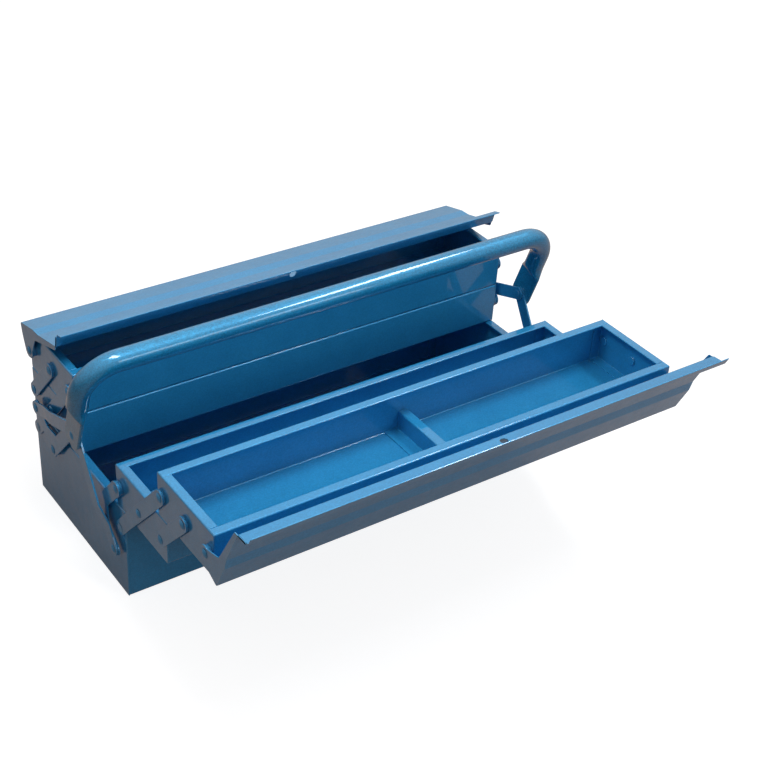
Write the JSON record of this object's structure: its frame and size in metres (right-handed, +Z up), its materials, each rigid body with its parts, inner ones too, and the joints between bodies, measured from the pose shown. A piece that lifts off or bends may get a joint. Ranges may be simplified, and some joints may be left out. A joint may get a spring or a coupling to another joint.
{
  "type": "cantilever tool box",
  "caption": "Folded sheet-steel cantilever tool box with tray stacks swinging out on flat links and bell cranks, hinged lids and a full-length tubular handle.",
  "frame": {"origin": "middle of the underside of the base", "axes": "+X along the box toward its right end, +Y from the front to the rear, +Z up; stored with the front trays swung out and the rear trays shut"},
  "size_m": [0.5712, 0.4533, 0.2555],
  "materials": {
    "enamel": "gloss"
  },
  "bodies": {
    "base": {"base_shell": "enamel", "base_end_left": "enamel", "base_end_right": "enamel", "base_rivets": "enamel", "base_spacers": "enamel"},
    "front_long_links": {"front_long_link_left": "enamel", "front_long_link_right": "enamel"},
    "front_cranks": {"front_crank_left": "enamel", "front_crank_right": "enamel", "front_crank_pins": "enamel"},
    "front_lower_tray": {"front_lower_shell": "enamel", "front_lower_end_left": "enamel", "front_lower_end_right": "enamel", "front_lower_rivets": "enamel", "front_lower_spacers": "enamel"},
    "front_upper_tray": {"front_upper_shell": "enamel", "front_upper_end_left": "enamel", "front_upper_end_right": "enamel", "front_upper_rivets": "enamel", "front_upper_spacers": "enamel", "front_divider": "enamel"},
    "front_tie_links": {"front_tie_link_left": "enamel", "front_tie_link_right": "enamel"},
    "front_lid_body": {"front_lid": "enamel"},
    "rear_long_links": {"rear_long_link_left": "enamel", "rear_long_link_right": "enamel"},
    "rear_cranks": {"rear_crank_left": "enamel", "rear_crank_right": "enamel"},
    "rear_lower_tray": {"rear_lower_shell": "enamel", "rear_lower_end_left": "enamel", "rear_lower_end_right": "enamel", "rear_lower_rivets": "enamel", "rear_lower_spacers": "enamel"},
    "rear_upper_tray": {"rear_upper_shell": "enamel", "rear_upper_end_left": "enamel", "rear_upper_end_right": "enamel", "rear_upper_rivets": "enamel", "rear_upper_spacers": "enamel"},
    "rear_tie_links": {"rear_tie_link_left": "enamel", "rear_tie_link_right": "enamel"},
    "rear_lid_body": {"rear_lid": "enamel"},
    "front_bars": {"front_bar_left": "enamel", "front_bar_right": "enamel"},
    "rear_bars": {"rear_bar_left": "enamel", "rear_bar_right": "enamel", "rear_bar_pins": "enamel"},
    "handle": {"handle_tube": "enamel", "handle_pins": "enamel"}
  },
  "joints": [
    {"name": "front_fold", "type": "hinge", "parent": "base", "child": "front_long_links", "pos_m": [0, -0.09455, 0.082], "axis": [1, 0, 0], "range_deg": [-83.95, 0]},
    {"name": "front_lower_pivot", "type": "hinge", "parent": "front_long_links", "child": "front_lower_tray", "pos_m": [0, -0.13755, 0.1298], "axis": [1, 0, 0], "range_deg": [0, 83.95]},
    {"name": "front_upper_pivot", "type": "hinge", "parent": "front_long_links", "child": "front_upper_tray", "pos_m": [0, -0.18055, 0.1776], "axis": [1, 0, 0], "range_deg": [0, 83.95]},
    {"name": "front_crank_pivot", "type": "hinge", "parent": "base", "child": "front_cranks", "pos_m": [0, -0.05155, 0.082], "axis": [1, 0, 0], "range_deg": [-83.95, 0]},
    {"name": "front_tie_pivot", "type": "hinge", "parent": "front_lower_tray", "child": "front_tie_links", "pos_m": [0, -0.18055, 0.1298], "axis": [1, 0, 0], "range_deg": [-83.95, 0]},
    {"name": "front_lid_hinge", "type": "hinge", "parent": "front_upper_tray", "child": "front_lid_body", "pos_m": [0, -0.26655, 0.1776], "axis": [1, 0, 0], "range_deg": [-115, 0]},
    {"name": "rear_fold", "type": "hinge", "parent": "base", "child": "rear_long_links", "pos_m": [0, 0.09455, 0.082], "axis": [-1, 0, 0], "range_deg": [0, 83.95]},
    {"name": "rear_lower_pivot", "type": "hinge", "parent": "rear_long_links", "child": "rear_lower_tray", "pos_m": [0, 0.05155, 0.1298], "axis": [-1, 0, 0], "range_deg": [-83.95, 0]},
    {"name": "rear_upper_pivot", "type": "hinge", "parent": "rear_long_links", "child": "rear_upper_tray", "pos_m": [0, 0.00855, 0.1776], "axis": [-1, 0, 0], "range_deg": [-83.95, 0]},
    {"name": "rear_crank_pivot", "type": "hinge", "parent": "base", "child": "rear_cranks", "pos_m": [0, 0.05155, 0.082], "axis": [-1, 0, 0], "range_deg": [0, 83.95]},
    {"name": "rear_tie_pivot", "type": "hinge", "parent": "rear_lower_tray", "child": "rear_tie_links", "pos_m": [0, 0.09455, 0.1298], "axis": [-1, 0, 0], "range_deg": [0, 83.95]},
    {"name": "rear_lid_hinge", "type": "hinge", "parent": "rear_upper_tray", "child": "rear_lid_body", "pos_m": [0, 0.09455, 0.1776], "axis": [-1, 0, 0], "range_deg": [-14, 101]},
    {"name": "front_bar_pivot", "type": "hinge", "parent": "front_cranks", "child": "front_bars", "pos_m": [0, -0.08759, 0.05326], "axis": [1, 0, 0], "range_deg": [0, 69.55]},
    {"name": "rear_bar_pivot", "type": "hinge", "parent": "front_bars", "child": "rear_bars", "pos_m": [0, -0.02651, 0.15281], "axis": [1, 0, 0], "range_deg": [-10.66, 0]},
    {"name": "handle_swing", "type": "hinge", "parent": "front_bars", "child": "handle", "pos_m": [0, -0.02651, 0.15281], "axis": [1, 0, 0], "range_deg": [-15, 20]}
  ],
  "couplings": [
    {"joint": "front_lower_pivot", "follows": "front_fold", "ratio": -1},
    {"joint": "front_upper_pivot", "follows": "front_fold", "ratio": -1},
    {"joint": "front_crank_pivot", "follows": "front_fold", "ratio": 1},
    {"joint": "front_tie_pivot", "follows": "front_fold", "ratio": 1},
    {"joint": "rear_lower_pivot", "follows": "rear_fold", "ratio": -1},
    {"joint": "rear_upper_pivot", "follows": "rear_fold", "ratio": -1},
    {"joint": "rear_crank_pivot", "follows": "rear_fold", "ratio": 1},
    {"joint": "rear_tie_pivot", "follows": "rear_fold", "ratio": 1},
    {"joint": "front_bar_pivot", "follows": "front_fold", "ratio": -0.8283},
    {"joint": "rear_bar_pivot", "follows": "front_fold", "ratio": 0.127}
  ]
}
